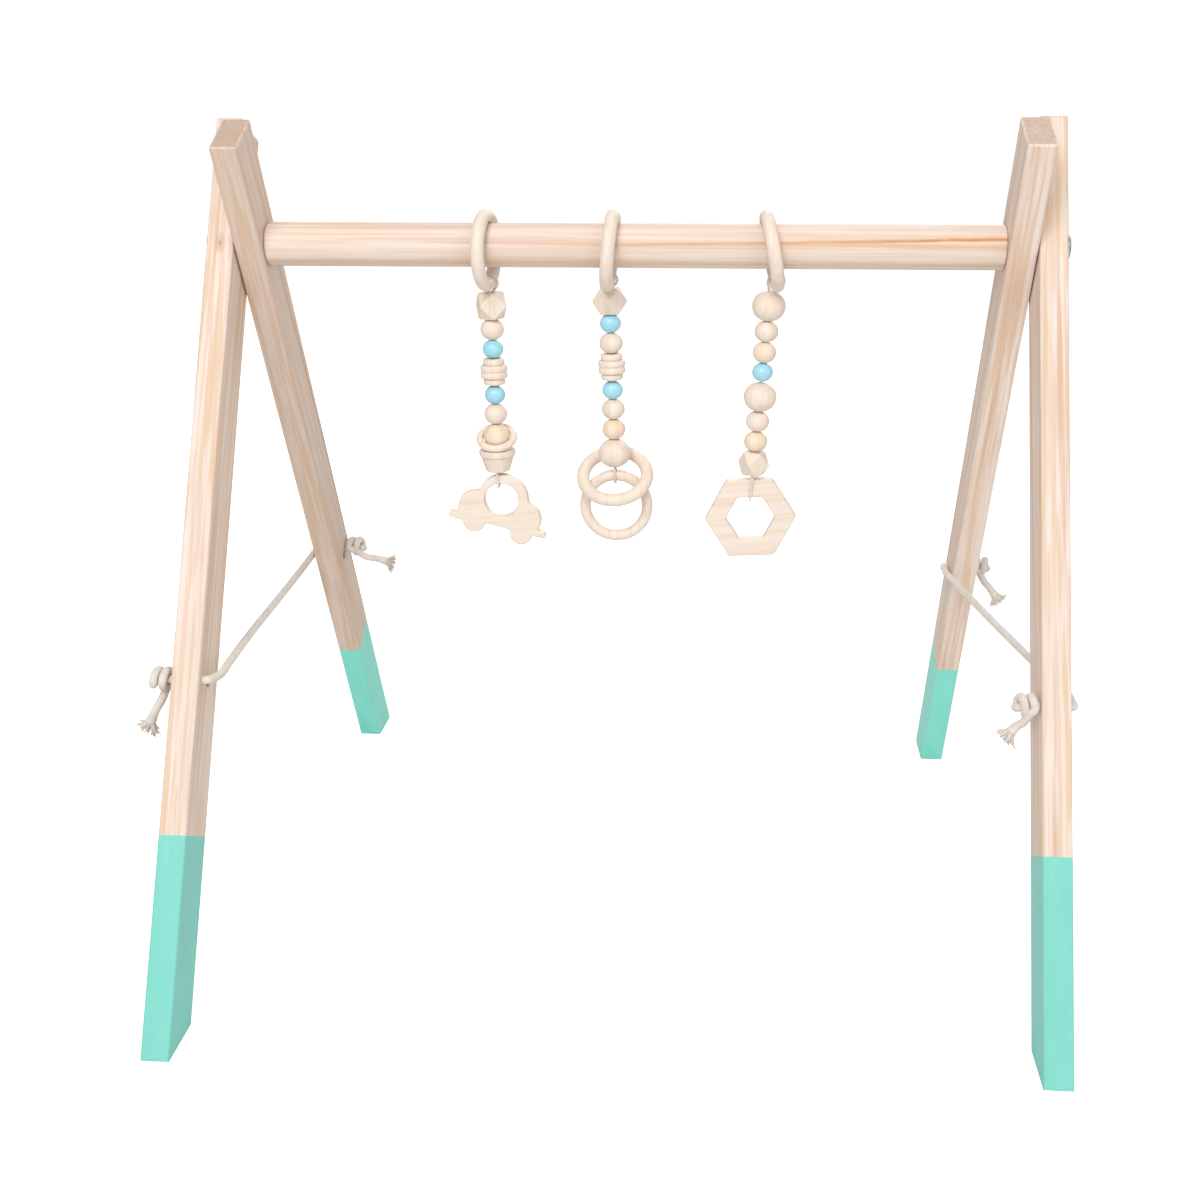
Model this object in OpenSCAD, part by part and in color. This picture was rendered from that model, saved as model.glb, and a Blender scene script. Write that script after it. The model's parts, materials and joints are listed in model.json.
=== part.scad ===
// Folding wooden play gym: a round bar carried by two scissor side frames,
// with three strings of beads that hang from it on rings.
// X runs along the bar, -Y is the front, Z is up. The origin is on the floor under the middle of the bar.

/* [Bar] */
// Length of the round bar
bar_len = 540; // [440:5:700]
// Diameter of the round bar
bar_d = 32; // [28:1:34]
// Height of the bar's centre line above the floor
bar_h = 513; // [460:1:600]

/* [Legs] */
// Thickness of a leg, along the bar
leg_t = 20; // [18:1:26]
// Width of a leg, across the bar
leg_w = 40; // [36:1:48]
// Length of a leg above the bar's centre line
leg_over = 91; // [60:1:120]
// Lean of the left legs from upright, in degrees
left_lean = 27.5; // [24:0.5:32]
// Lean of the right legs from upright, in degrees
right_lean = 26; // [24:0.5:32]
// Rounding of the legs' long edges
leg_edge = 1.6; // [0.5:0.1:3]
// Length of the painted end of a leg
paint_len = 151; // [100:1:200]

/* [Leg bolts] */
// Diameter of the bolt that each side frame folds on
bolt_d = 8; // [6:1:10]
// Diameter of the bolt's wide flat head
bolt_head_d = 20; // [16:1:24]
// Thickness of the washer between the two legs of a side frame
spacer_t = 0.8; // [0.6:0.1:1.6]

/* [Ropes] */
// Diameter of the rope that stops a side frame opening
rope_d = 6; // [5:0.5:7]
// Distance from the bolt to the rope holes, along a leg
rope_hole_dist = 329; // [280:1:360]
// Diameter of the rope holes
rope_hole_d = 8; // [7.5:0.5:10]
// Diameter of a rope knot
knot_d = 18; // [16:0.5:20]

/* [Strings] */
// Places of the three rings along the bar
ring_x = [-106.4, -14.3, 104.2];
// Sideways lean of the three rings, in degrees
ring_lean = [0, 5, -10.5];
// Turn of the three rings about the upright, in degrees
ring_turn = [-6, 0, 3];
// Sideways lean of the three strings below their rings, in degrees
string_lean = [0.9, 1.7, -3.8];
// Sideways shift of the three strings from the middle of their loops
hang_side = [0, 0.6, -5];
// Angle behind a ring's lowest point at which its cord hangs
hang_angle = [16, 28, 21];
// Diameter of the cord that holds a string together
cord_d = 2.2; // [1.8:0.1:2.6]
// Outside diameter of the rings on the bar
ring_d = 60; // [58:1:70]
// Thickness of the rings on the bar
ring_tube = 10; // [8:0.5:10]

/* [Beads] */
// Diameter of the small natural beads
small_d = 18; // [17:0.5:19]
// Diameter of the blue beads
blue_d = 16; // [15:0.5:17]
// Diameter of the large beads
large_d = 25; // [24:0.5:26]
// Diameter of the bead that sits on the cup
nested_d = 20; // [19.5:0.1:20.2]
// Diameter of the ribbed beads
ribbed_d = 21; // [20:0.5:22]
// Length of the ribbed beads
ribbed_len = 20; // [18:0.5:22]
// Height of the faceted bead on each string, flat to flat
facet_h = [20, 19.2, 18.6];

/* [Pendants] */
// Thickness of the car and the hexagon
plate_t = 9; // [8:0.5:10]
// Diameter of the hole in the car
car_hole_d = 26.6; // [24:0.1:27]
// Tilt of the car as it hangs
car_tilt = 16; // [0:1:18]
// Width of the hexagon, corner to corner
hexagon_d = 71; // [66:1:76]
// Width of the opening in the hexagon, corner to corner
hexagon_hole_d = 38; // [34:1:42]
// Tilt of the hexagon on its string
hexagon_tilt = 7; // [0:1:8]
// Outside diameter of the ring at the end of the middle string
pendant_ring_d = 57.5; // [57:0.5:58]
// Thickness of the ring at the end of the middle string
pendant_ring_tube = 8.6; // [8.2:0.1:8.7]
// Outside diameter of the loose ring on the middle string
loose_ring_d = 60; // [59:0.5:60.5]
// Thickness of the loose ring on the middle string
loose_ring_tube = 10; // [9.2:0.1:10]
// Outside diameter of the small ring on the cup
small_ring_d = 32; // [32:0.5:34]
// Thickness of the small ring on the cup
small_ring_tube = 5.6; // [5:0.1:5.7]

/* [Hidden] */
$fn = 64;

// Colours
PINE = [0.91, 0.78, 0.62];
MINT = [0.45, 0.83, 0.75];
BEECH = [0.95, 0.87, 0.74];
WARM = [0.93, 0.79, 0.60];
BLUE = [0.38, 0.74, 0.86];
ROPE = [0.93, 0.90, 0.84];
STEEL = [0.75, 0.76, 0.78];
BRASS = [0.80, 0.65, 0.35];

// Fits
run_gap = 0.05;   // radial clearance of a bolt in a leg, insert or washer
face_gap = 0.1;   // gap between faces that turn past each other
bead_gap = 0.1;   // gap between neighbouring beads
bend_gap = 1;     // gap between beads where a string bends
big = 400;        // larger than any part that a cutting block passes through

// Places along the bar, measured outwards from its middle
bar_end = bar_len / 2;
inner_leg_x = bar_end + face_gap;
spacer_x = inner_leg_x + leg_t + face_gap;
outer_leg_x = spacer_x + spacer_t + face_gap;
washer_t = 1.2;
washer_x = outer_leg_x + leg_t + face_gap;
head_x = washer_x + washer_t + face_gap;
head_t = 3;
insert_len = 25;
insert_d = 12;
bolt_reach = 22;

// Strings: the ring rests on the bar and its cord hangs from the back of its lowest point
hang_gap = 0.15;
ring_r = (ring_d - ring_tube) / 2;
ring_z = bar_h + bar_d / 2 + hang_gap + ring_tube / 2 - ring_r;
loop_r = ring_tube / 2 + cord_d / 2 + hang_gap;
swing_r = ring_r + loop_r + cord_d / 2 + 0.3;
bore_d = cord_d + 0.1;
small_len = small_d * 0.87;
blue_len = blue_d * 0.88;
large_len = large_d * 0.88;
nested_len = nested_d;
cup_h = 17.4;
pendant_gap = 0.2;

// The point that a string swings from, just below its loop
function swing_point(n) =
  let(
    back = swing_r * sin(hang_angle[n]),
    down = swing_r * cos(hang_angle[n]),
    across = -down * sin(ring_lean[n]) + hang_side[n]
  )
  [
    ring_x[n] + across * cos(ring_turn[n]) - back * sin(ring_turn[n]),
    across * sin(ring_turn[n]) + back * cos(ring_turn[n]),
    ring_z + ring_r * (1 - cos(ring_lean[n])) - down * cos(ring_lean[n])
  ];

// A string is a list of piece lengths; top(list, n) is how far piece n's top lies below the swing point
first_drop = 0.4;
car_lens = [facet_h[0], small_len, blue_len, ribbed_len, blue_len, small_len, nested_len, cup_h];
ring_lens = [facet_h[1], blue_len, small_len, ribbed_len, blue_len, small_len, small_len, large_len];
hexagon_lens = [large_len, small_len, small_len, blue_len, large_len, small_len, small_len, facet_h[2]];
bend_after = 3;
function gap_after(n) = n == bend_after ? bend_gap : bead_gap;
function top(lens, n) = n == 0 ? first_drop : top(lens, n - 1) + lens[n - 1] + gap_after(n - 1);
function middle(lens, n) = top(lens, n) + lens[n] / 2;
function bend_drop(lens) = top(lens, bend_after + 1) - bend_gap / 2;
function end_drop(lens) = top(lens, len(lens) - 1) + lens[len(lens) - 1];

// ---------- Shapes used by several parts ----------

// A square with rounded corners, centred
module rounded_rect(w, h, r) {
  square([w - 2 * r, h], center = true);
  square([w, h - 2 * r], center = true);
  for (x = [-1, 1], y = [-1, 1])
    translate([x * (w / 2 - r), y * (h / 2 - r)]) circle(r);
}

// A round rod between two points
module rod(p, q, d) {
  v = q - p;
  length = norm(v);
  translate(p)
    rotate([0, acos(v.z / length), atan2(v.y, v.x)])
      cylinder(d = d, h = length);
}

// A ring of round section, lying flat
module torus(outside_d, tube) {
  rotate_extrude()
    translate([(outside_d - tube) / 2, 0]) circle(d = tube);
}

// A cylinder that runs along X from x0 to x1
module x_cylinder(x0, x1, d) {
  translate([x0, 0, 0]) rotate([0, 90, 0]) cylinder(d = d, h = x1 - x0);
}

// Mirrors its children to the left or the right half
module side(sign) {
  mirror([sign < 0 ? 1 : 0, 0, 0]) children();
}

// ---------- Bar and side frames ----------

module bar() {
  color(PINE)
    translate([0, 0, bar_h])
      difference() {
        rotate([0, 90, 0])
          rotate_extrude()
            bar_profile();
        for (s = [-1, 1]) side(s)
          x_cylinder(bar_end - insert_len - 5, bar_end + 1, insert_d + 2 * run_gap);
      }
}

// Half section of the bar, with its end edges rounded
module bar_profile() {
  r = 1.5;
  translate([0, -bar_end + r]) square([bar_d / 2, bar_len - 2 * r]);
  translate([0, -bar_end]) square([bar_d / 2 - r, bar_len]);
  for (s = [-1, 1]) translate([bar_d / 2 - r, s * (bar_end - r)]) circle(r);
}

// Distance from the bolt to the foot along a leg, at a place across its width
function foot_at(y, lean) = bar_h / cos(lean) + y * tan(lean);

// A leg standing upright with the bolt at the origin; its foot is cut to the floor when it leans
module leg_blank(lean) {
  c = 1.2;
  half = leg_w / 2;
  f0 = foot_at(-half, lean);
  f1 = foot_at(half, lean);
  intersection() {
    translate([0, 0, -f1])
      linear_extrude(height = f1 + leg_over)
        rounded_rect(leg_t, leg_w, leg_edge);
    // side outline, with eased corners
    rotate([90, 0, 90])
      linear_extrude(height = leg_t + 2, center = true)
        polygon([
          [-half, leg_over - c], [-half + c, leg_over], [half - c, leg_over], [half, leg_over - c],
          [half, c - f1], [half - c, -foot_at(half - c, lean)],
          [c - half, -foot_at(c - half, lean)], [-half, c - f0]
        ]);
    // front outline, with eased corners at the top
    rotate([90, 0, 0])
      linear_extrude(height = leg_w + 2, center = true)
        polygon([
          [-leg_t / 2, leg_over - c], [c - leg_t / 2, leg_over], [leg_t / 2 - c, leg_over],
          [leg_t / 2, leg_over - c], [leg_t / 2, -f1 - 1], [-leg_t / 2, -f1 - 1]
        ]);
  }
}

// The painted stretch of a leg, up to a line square across it
module below_paint_line(lean) {
  translate([-big, -big, paint_len - bar_h / cos(lean) - 2 * big])
    cube(2 * big);
}

// turn is 1 for a rear leg, whose foot is behind, and -1 for a front leg
module leg(x0, lean, turn) {
  translate([x0 + leg_t / 2, 0, bar_h])
    rotate([turn * lean, 0, 0])
      mirror([0, turn > 0 ? 0 : 1, 0])
        difference() {
          union() {
            color(PINE) difference() {
              leg_blank(lean);
              below_paint_line(lean);
            }
            color(MINT) intersection() {
              leg_blank(lean);
              below_paint_line(lean);
            }
          }
          x_cylinder(-leg_t, leg_t, bolt_d + 2 * run_gap);
          translate([0, 0, -rope_hole_dist]) x_cylinder(-leg_t, leg_t, rope_hole_d);
        }
}

module left_front_leg() side(-1) leg(outer_leg_x, left_lean, -1);
module left_rear_leg() side(-1) leg(inner_leg_x, left_lean, 1);
module right_front_leg() side(1) leg(outer_leg_x, right_lean, -1);
module right_rear_leg() side(1) leg(inner_leg_x, right_lean, 1);

// Wide-headed bolt with a hexagon socket, from outside the front leg into the bar
module bolt(s) {
  socket = 5;
  color(STEEL)
    side(s) translate([0, 0, bar_h])
      difference() {
        union() {
          x_cylinder(bar_end - bolt_reach, head_x + 1, bolt_d);
          x_cylinder(head_x, head_x + head_t - 1, bolt_head_d);
          translate([head_x + head_t - 1, 0, 0])
            rotate([0, 90, 0]) cylinder(d1 = bolt_head_d, d2 = bolt_head_d - 4, h = 1);
        }
        translate([head_x + 0.6, 0, 0])
          rotate([0, 90, 0]) cylinder(d = socket * 2 / sqrt(3), h = head_t, $fn = 6);
      }
}

module left_bolt() bolt(-1);
module right_bolt() bolt(1);

// Flanged thread insert in the end of the bar
module insert(s) {
  color(BRASS)
    side(s) translate([0, 0, bar_h])
      difference() {
        x_cylinder(bar_end - insert_len, bar_end - 0.2, insert_d);
        x_cylinder(bar_end - insert_len - 1, bar_end + 1, bolt_d + 2 * run_gap);
      }
}

module left_insert() insert(-1);
module right_insert() insert(1);

module washer(s, x0, thickness, d) {
  color(STEEL)
    side(s) translate([0, 0, bar_h])
      difference() {
        x_cylinder(x0, x0 + thickness, d);
        x_cylinder(x0 - 1, x0 + thickness + 1, bolt_d + 2 * run_gap);
      }
}

module left_spacer() washer(-1, spacer_x, spacer_t, 26);
module right_spacer() washer(1, spacer_x, spacer_t, 26);
module left_head_washer() washer(-1, washer_x, washer_t, 24);
module right_head_washer() washer(1, washer_x, washer_t, 24);

// ---------- Ropes ----------

// Both holes of a side frame are at the same height, so a rope lies level between its knots
function hole_y(lean) = rope_hole_dist * sin(lean);
function hole_z(lean) = bar_h - rope_hole_dist * cos(lean);
rope_sides = 12;
rope_bend_r = 6;

function unit(v) = v / norm(v);
function heading(p, i) = unit(p[min(i + 1, len(p) - 1)] - p[max(i - 1, 0)]);
function square_to(n, t) = unit(n - (n * t) * t);

// A side direction at each point of a path, carried along it without twist
function sides(p) = [
  for (i = 0, n = square_to([0.2, 0.1, 1], heading(p, 0)); i < len(p);
       i = i + 1, n = i < len(p) ? square_to(n, heading(p, i)) : n)
    n
];

// A soft solid of round sections along a path; each entry is [x, y, z, radius]
module soft_run(run) {
  p = [for (c = run) [c[0], c[1], c[2]]];
  n = sides(p);
  m = rope_sides;
  last = len(p) - 1;
  points = [
    for (i = [0 : last], k = [0 : m - 1])
      p[i] + run[i][3] * (cos(360 * k / m) * n[i] + sin(360 * k / m) * cross(heading(p, i), n[i]))
  ];
  walls = [
    for (i = [0 : last - 1], k = [0 : m - 1], half = [0, 1])
      let(a = i * m + k, b = i * m + (k + 1) % m)
      half == 0 ? [a, a + m, b] : [b, a + m, b + m]
  ];
  start_cap = [[for (k = [0 : m - 1]) k]];
  end_cap = [[for (k = [0 : m - 1]) last * m + m - 1 - k]];
  polyhedron(points = points, faces = concat(start_cap, walls, end_cap));
}

function moved(run, v) = [for (c = run) [c[0] + v.x, c[1] + v.y, c[2] + v.z, c[3]]];
function backwards(run) = [for (i = [len(run) - 1 : -1 : 0]) run[i]];
function turned_half(run) = [for (c = run) [-c[0], -c[1], c[2], c[3]]];

// Tail and knot whose rope runs on along +X from the knot's middle; the tail leans by tip
function knot_run(tip) =
  let(r = rope_d / 2, k = knot_d / 2)
  concat(
    [[tip.x - 16, tip.y, tip.z - 12, 2 * r], [tip.x - 16, tip.y, tip.z, 1.1 * r]],
    [for (a = [0, 25, 50, 75]) [-k - 1 - 6 * cos(a), 0, -6 + 6 * sin(a), r]],
    [for (a = [160 : -20 : 20]) [k * cos(a), 0, 0, k * sin(a)]]
  );

// The level S of a rope between its two leads, both along +X
function bend_run(s, e, r) =
  let(
    c1 = s + [0, r],
    c2 = e - [0, r],
    apart = norm(c2 - c1),
    turn = atan2(c2.y - c1.y, c2.x - c1.x) + asin(2 * r / apart),
    steps = 6
  )
  concat(
    [for (i = [0 : steps]) let(a = turn * i / steps)
      [c1.x + r * sin(a), c1.y - r * cos(a), 0, rope_d / 2]],
    [for (i = [steps : -1 : 0]) let(a = turn * i / steps)
      [c2.x - r * sin(a), c2.y + r * cos(a), 0, rope_d / 2]]
  );

// Rope of one side frame, drawn for the left one, with its start at the front leg.
// The right one is the same rope turned half round, so its start is at the rear leg.
module stay_rope(start_x, end_x, lean, clear, start_tip, end_tip) {
  y = hole_y(lean);
  off = leg_t + knot_d / 2 + 0.4;
  color(ROPE)
    translate([0, 0, hole_z(lean)])
      soft_run(concat(
        moved(knot_run(start_tip), [start_x - off, -y, 0]),
        bend_run([start_x + clear, -y], [end_x - clear, y], rope_bend_r),
        moved(backwards(turned_half(knot_run(end_tip))), [end_x + off, y, 0])
      ));
}

module left_rope() {
  stay_rope(-outer_leg_x, -inner_leg_x - leg_t, left_lean, 0.6, [6, 2, -22], [-6, 2, -16]);
}

module right_rope() {
  rotate([0, 0, 180])
    stay_rope(-inner_leg_x, -outer_leg_x - leg_t, right_lean, 1.6, [-8, -2, -22], [0, 3, -20]);
}

// ---------- String pieces ----------

// Puts its children in a bar ring's own frame: its centre at the origin, the bar along X.
// A leaning ring sits a little higher, so that it still clears the top of the bar.
module in_ring(n) {
  translate([ring_x[n], 0, ring_z + ring_r * (1 - cos(ring_lean[n]))])
    rotate([0, ring_lean[n], ring_turn[n]])
      children();
}

// Puts its children in a string's own frame: the point it swings from at the origin, the string along -Z
module on_string(n) {
  translate(swing_point(n))
    rotate([0, -string_lean[n], 0])
      children();
}

// Puts its children at a distance below the swing point
module drop(z) {
  translate([0, 0, -z]) children();
}

// Ring that hangs over the bar
module bar_ring(n) {
  color(BEECH) in_ring(n) rotate([0, 90, 0]) torus(ring_d, ring_tube);
}

// Cord looped round a bar ring where the string hangs
module top_loop(n) {
  color(ROPE)
    in_ring(n)
      rotate([hang_angle[n], 0, 0])
        translate([0, 0, -ring_r])
          rotate([90, 0, 0])
            torus(2 * loop_r + cord_d, cord_d);
}

// Cord inside a string between two drops
module cord(n, from, to) {
  color(ROPE) on_string(n) drop(to) cylinder(d = cord_d, h = to - from);
}

// Round bead, a little shorter than it is wide
module round_bead(d, length) {
  rotate_extrude()
    intersection() {
      translate([(d - length) / 2, 0]) circle(d = length);
      translate([bore_d / 2, -length / 2]) square([d / 2, length]);
    }
}

// Barrel bead turned with four ribs
module ribbed_bead() {
  rib = ribbed_len / 4;
  rotate_extrude()
    difference() {
      union() {
        for (i = [0 : 3]) {
          reach = ribbed_d / 2 - (i == 0 || i == 3 ? 2 : 0);
          translate([reach - rib / 2, (i - 1.5) * rib]) circle(d = rib);
          translate([0, (i - 2) * rib]) square([reach - rib / 2, rib]);
        }
      }
      translate([-ribbed_d, -ribbed_len]) square([ribbed_d + bore_d / 2, 2 * ribbed_len]);
    }
}

// Bead with six square and eight triangular faces
module facet_bead(height) {
  a = height / 2;
  difference() {
    polyhedron(
      points = [
        [a, a, 0], [-a, a, 0], [-a, -a, 0], [a, -a, 0],
        [a, 0, a], [0, a, a], [-a, 0, a], [0, -a, a],
        [a, 0, -a], [0, a, -a], [-a, 0, -a], [0, -a, -a]
      ],
      faces = [
        [7, 6, 5, 4], [8, 9, 10, 11], [8, 3, 4, 0], [9, 0, 5, 1], [10, 1, 6, 2], [11, 2, 7, 3],
        [4, 5, 0], [5, 6, 1], [6, 7, 2], [7, 4, 3], [9, 8, 0], [10, 9, 1], [11, 10, 2], [8, 11, 3]
      ]
    );
    cylinder(d = bore_d, h = 2 * height, center = true);
  }
}

module placed_bead(n, lens, i, d) {
  on_string(n) drop(middle(lens, i)) round_bead(d, lens[i]);
}

module placed_ribbed(n, lens, i) {
  color(BEECH) on_string(n) drop(middle(lens, i)) ribbed_bead();
}

module placed_facet(n, lens, i, turn) {
  color(WARM) on_string(n) drop(middle(lens, i)) rotate([0, 0, turn]) facet_bead(lens[i]);
}

// Four-sided cord loop round a bar of the given height, in the YZ plane, with its top at the origin
module bar_loop(bar_height) {
  y = plate_t / 2 + cord_d / 2 + hang_gap;
  low = -(bar_height + cord_d + 2 * hang_gap);
  points = [[0, y, 0], [0, y, low], [0, -y, low], [0, -y, 0], [0, y, 0]];
  drop(cord_d / 2) {
    for (i = [0 : 3]) rod(points[i], points[i + 1], cord_d);
    for (i = [0 : 3]) translate(points[i]) sphere(d = cord_d);
  }
}

// ---------- String with the car ----------

module car_string_ring() bar_ring(0);
module car_string_top_loop() top_loop(0);
module car_string_upper_cord() cord(0, 0.2, bend_drop(car_lens) - 0.3);
module car_string_facet_bead() placed_facet(0, car_lens, 0, 20);
module car_string_upper_small_bead() color(BEECH) placed_bead(0, car_lens, 1, small_d);
module car_string_upper_blue_bead() color(BLUE) placed_bead(0, car_lens, 2, blue_d);
module car_string_ribbed_bead() placed_ribbed(0, car_lens, 3);
module car_string_lower_cord() cord(0, bend_drop(car_lens) + 0.3, end_drop(car_lens));
module car_string_lower_blue_bead() color(BLUE) placed_bead(0, car_lens, 4, blue_d);
module car_string_lower_small_bead() color(BEECH) placed_bead(0, car_lens, 5, small_d);
module car_string_nested_bead() color(WARM) placed_bead(0, car_lens, 6, nested_d);

small_ring_tilt = 28;
small_ring_rise = (small_ring_d - small_ring_tube) / 2 * sin(small_ring_tilt) + small_ring_tube / 2 + 0.2;

// Loose ring that leans on the cup, round the bead above it
module car_string_small_ring() {
  color(BEECH)
    on_string(0) drop(top(car_lens, 7) - small_ring_rise)
      rotate([small_ring_tilt, 0, 0]) torus(small_ring_d, small_ring_tube);
}

// Pot-shaped cup with a straight rim band and a tapered, rounded foot
module car_string_cup() {
  rim_r = 14.2;
  band_h = 5;
  foot_r = 9.5;
  ease = 1.5;
  color(BEECH)
    on_string(0) drop(end_drop(car_lens))
      rotate_extrude()
        difference() {
          polygon([
            [0, 0], [foot_r - ease, 0], [foot_r, ease], [rim_r - 1.4, cup_h - band_h],
            [rim_r - 0.4, cup_h - band_h + 0.4], [rim_r, cup_h - 1], [rim_r - 1, cup_h], [0, cup_h]
          ]);
          translate([-1, -1]) square([1 + bore_d / 2, cup_h + 2]);
        }
}

car_drop = end_drop(car_lens) + pendant_gap;
cabin_r = 20.3;
cabin_off = 1;
roof_bar = cabin_r - car_hole_d / 2;
hang_off = [2, -cabin_r - cord_d - 0.2];

module car_string_car_loop() {
  color(ROPE) on_string(0) drop(car_drop) bar_loop(roof_bar + 1.5);
}

// Side view of the car about the centre of its hole, with its inner corners filled out
module car_outline() {
  sill = -22.8;
  wheel_r = 9.2;
  fill_r = 5;
  offset(r = -fill_r) offset(delta = fill_r) {
    // cabin, then the boot and the bonnet on its two sides
    translate([cabin_off, cabin_off]) circle(cabin_r - cabin_off / 2);
    translate([20.5, sill + 11.8]) circle(14);
    translate([-19.6, sill + 11.6]) circle(12.7);
    translate([-32, sill + 1]) square([66, 9]);
    translate([-14, sill + 4]) square([32, 16]);
  }
  // bumpers
  translate([-35.5, sill + 0.8]) circle(2.6);
  translate([-35.5, sill - 1.8]) square([10, 5.2]);
  translate([38.2, sill + 3.8]) circle(2.6);
  translate([27, sill + 1.2]) square([11.2, 5.2]);
  // wheels
  translate([-17, sill + 0.4]) circle(wheel_r);
  translate([21.4, sill + 0.6]) circle(wheel_r);
}

module car_string_car() {
  color(BEECH)
    on_string(0) drop(car_drop)
      translate([hang_off.x, 0, hang_off.y])
        rotate([0, car_tilt, 0])
          rotate([90, 0, 0])
            linear_extrude(height = plate_t, center = true)
              difference() {
                car_outline();
                circle(d = car_hole_d);
              }
}

// ---------- String with the two rings ----------

module ring_string_ring() bar_ring(1);
module ring_string_top_loop() top_loop(1);
module ring_string_upper_cord() cord(1, 0.2, bend_drop(ring_lens) - 0.3);
module ring_string_facet_bead() placed_facet(1, ring_lens, 0, 45);
module ring_string_upper_blue_bead() color(BLUE) placed_bead(1, ring_lens, 1, blue_d);
module ring_string_upper_small_bead() color(BEECH) placed_bead(1, ring_lens, 2, small_d);
module ring_string_ribbed_bead() placed_ribbed(1, ring_lens, 3);
module ring_string_lower_blue_bead() color(BLUE) placed_bead(1, ring_lens, 4, blue_d);
module ring_string_lower_small_bead() color(BEECH) placed_bead(1, ring_lens, 5, small_d);
module ring_string_warm_bead() color(WARM) placed_bead(1, ring_lens, 6, small_d);
module ring_string_large_bead() color(BEECH) placed_bead(1, ring_lens, 7, large_d);

pendant_loop_r = pendant_ring_tube / 2 + cord_d / 2 + hang_gap;
hanging_ring_top = end_drop(ring_lens) + pendant_gap + cord_d + hang_gap;

// Cord through the lower beads, with the loop that holds the hanging ring
module ring_string_lower_cord() {
  start = bend_drop(ring_lens) + 0.3;
  loop_drop = hanging_ring_top + pendant_ring_tube / 2;
  color(ROPE)
    on_string(1) {
      drop(loop_drop - pendant_loop_r) cylinder(d = cord_d, h = loop_drop - pendant_loop_r - start);
      drop(loop_drop) rotate([0, 90, 0]) torus(2 * pendant_loop_r + cord_d, cord_d);
    }
}

module ring_string_hanging_ring() {
  color(BEECH)
    on_string(1) drop(hanging_ring_top + pendant_ring_d / 2)
      rotate([90, 0, 0]) torus(pendant_ring_d, pendant_ring_tube);
}

loose_ring_tilt = 35;
loose_ring_y = -2;
loose_ring_drop = hanging_ring_top + pendant_ring_d / 2 - 24.7;

// Loose ring threaded on the string, which leans forward over the hanging ring
module ring_string_loose_ring() {
  color(BEECH)
    on_string(1) translate([0, loose_ring_y, -loose_ring_drop])
      rotate([loose_ring_tilt, 0, 0]) torus(loose_ring_d, loose_ring_tube);
}

// ---------- String with the hexagon ----------

module hexagon_string_ring() bar_ring(2);
module hexagon_string_top_loop() top_loop(2);
module hexagon_string_upper_cord() cord(2, 0.2, bend_drop(hexagon_lens) - 0.3);
module hexagon_string_upper_large_bead() color(BEECH) placed_bead(2, hexagon_lens, 0, large_d);
module hexagon_string_upper_small_bead() color(BEECH) placed_bead(2, hexagon_lens, 1, small_d);
module hexagon_string_upper_warm_bead() color(WARM) placed_bead(2, hexagon_lens, 2, small_d);
module hexagon_string_blue_bead() color(BLUE) placed_bead(2, hexagon_lens, 3, blue_d);
module hexagon_string_lower_cord() {
  cord(2, bend_drop(hexagon_lens) + 0.3, end_drop(hexagon_lens));
}
module hexagon_string_lower_large_bead() color(BEECH) placed_bead(2, hexagon_lens, 4, large_d);
module hexagon_string_lower_small_bead() color(BEECH) placed_bead(2, hexagon_lens, 5, small_d);
module hexagon_string_lower_warm_bead() color(WARM) placed_bead(2, hexagon_lens, 6, small_d);
module hexagon_string_facet_bead() placed_facet(2, hexagon_lens, 7, 25);

hexagon_drop = end_drop(hexagon_lens) + pendant_gap;
hexagon_bar = (hexagon_d - hexagon_hole_d) / 2 * cos(30);

module hexagon_string_hexagon_loop() {
  color(ROPE) on_string(2) drop(hexagon_drop) bar_loop(hexagon_bar + 1);
}

module hexagon_string_hexagon() {
  color(BEECH)
    on_string(2) translate([1.5, 0, -hexagon_drop - cord_d - 0.6 - hexagon_d / 2 * cos(30)])
      rotate([90, 0, 0])
        linear_extrude(height = plate_t, center = true)
          rotate(hexagon_tilt)
            difference() {
              circle(d = hexagon_d, $fn = 6);
              circle(d = hexagon_hole_d, $fn = 6);
            }
}

// ---------- Parts, drawn one at a time or all together ----------

bar();
left_front_leg();
left_rear_leg();
right_front_leg();
right_rear_leg();
left_bolt();
right_bolt();
left_insert();
right_insert();
left_spacer();
right_spacer();
left_head_washer();
right_head_washer();
left_rope();
right_rope();
car_string_ring();
car_string_top_loop();
car_string_upper_cord();
car_string_facet_bead();
car_string_upper_small_bead();
car_string_upper_blue_bead();
car_string_ribbed_bead();
car_string_lower_cord();
car_string_lower_blue_bead();
car_string_lower_small_bead();
car_string_nested_bead();
car_string_small_ring();
car_string_cup();
car_string_car_loop();
car_string_car();
ring_string_ring();
ring_string_top_loop();
ring_string_upper_cord();
ring_string_facet_bead();
ring_string_upper_blue_bead();
ring_string_upper_small_bead();
ring_string_ribbed_bead();
ring_string_lower_cord();
ring_string_lower_blue_bead();
ring_string_lower_small_bead();
ring_string_warm_bead();
ring_string_large_bead();
ring_string_loose_ring();
ring_string_hanging_ring();
hexagon_string_ring();
hexagon_string_top_loop();
hexagon_string_upper_cord();
hexagon_string_upper_large_bead();
hexagon_string_upper_small_bead();
hexagon_string_upper_warm_bead();
hexagon_string_blue_bead();
hexagon_string_lower_cord();
hexagon_string_lower_large_bead();
hexagon_string_lower_small_bead();
hexagon_string_lower_warm_bead();
hexagon_string_facet_bead();
hexagon_string_hexagon_loop();
hexagon_string_hexagon();
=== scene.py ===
"""Looks of the folding wooden play gym: pine and paint, turned beads, twisted ropes with knots and frayed ends."""

import json
import math
import random

import bmesh
import bpy
from mathutils import Matrix, Quaternion, Vector


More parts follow.
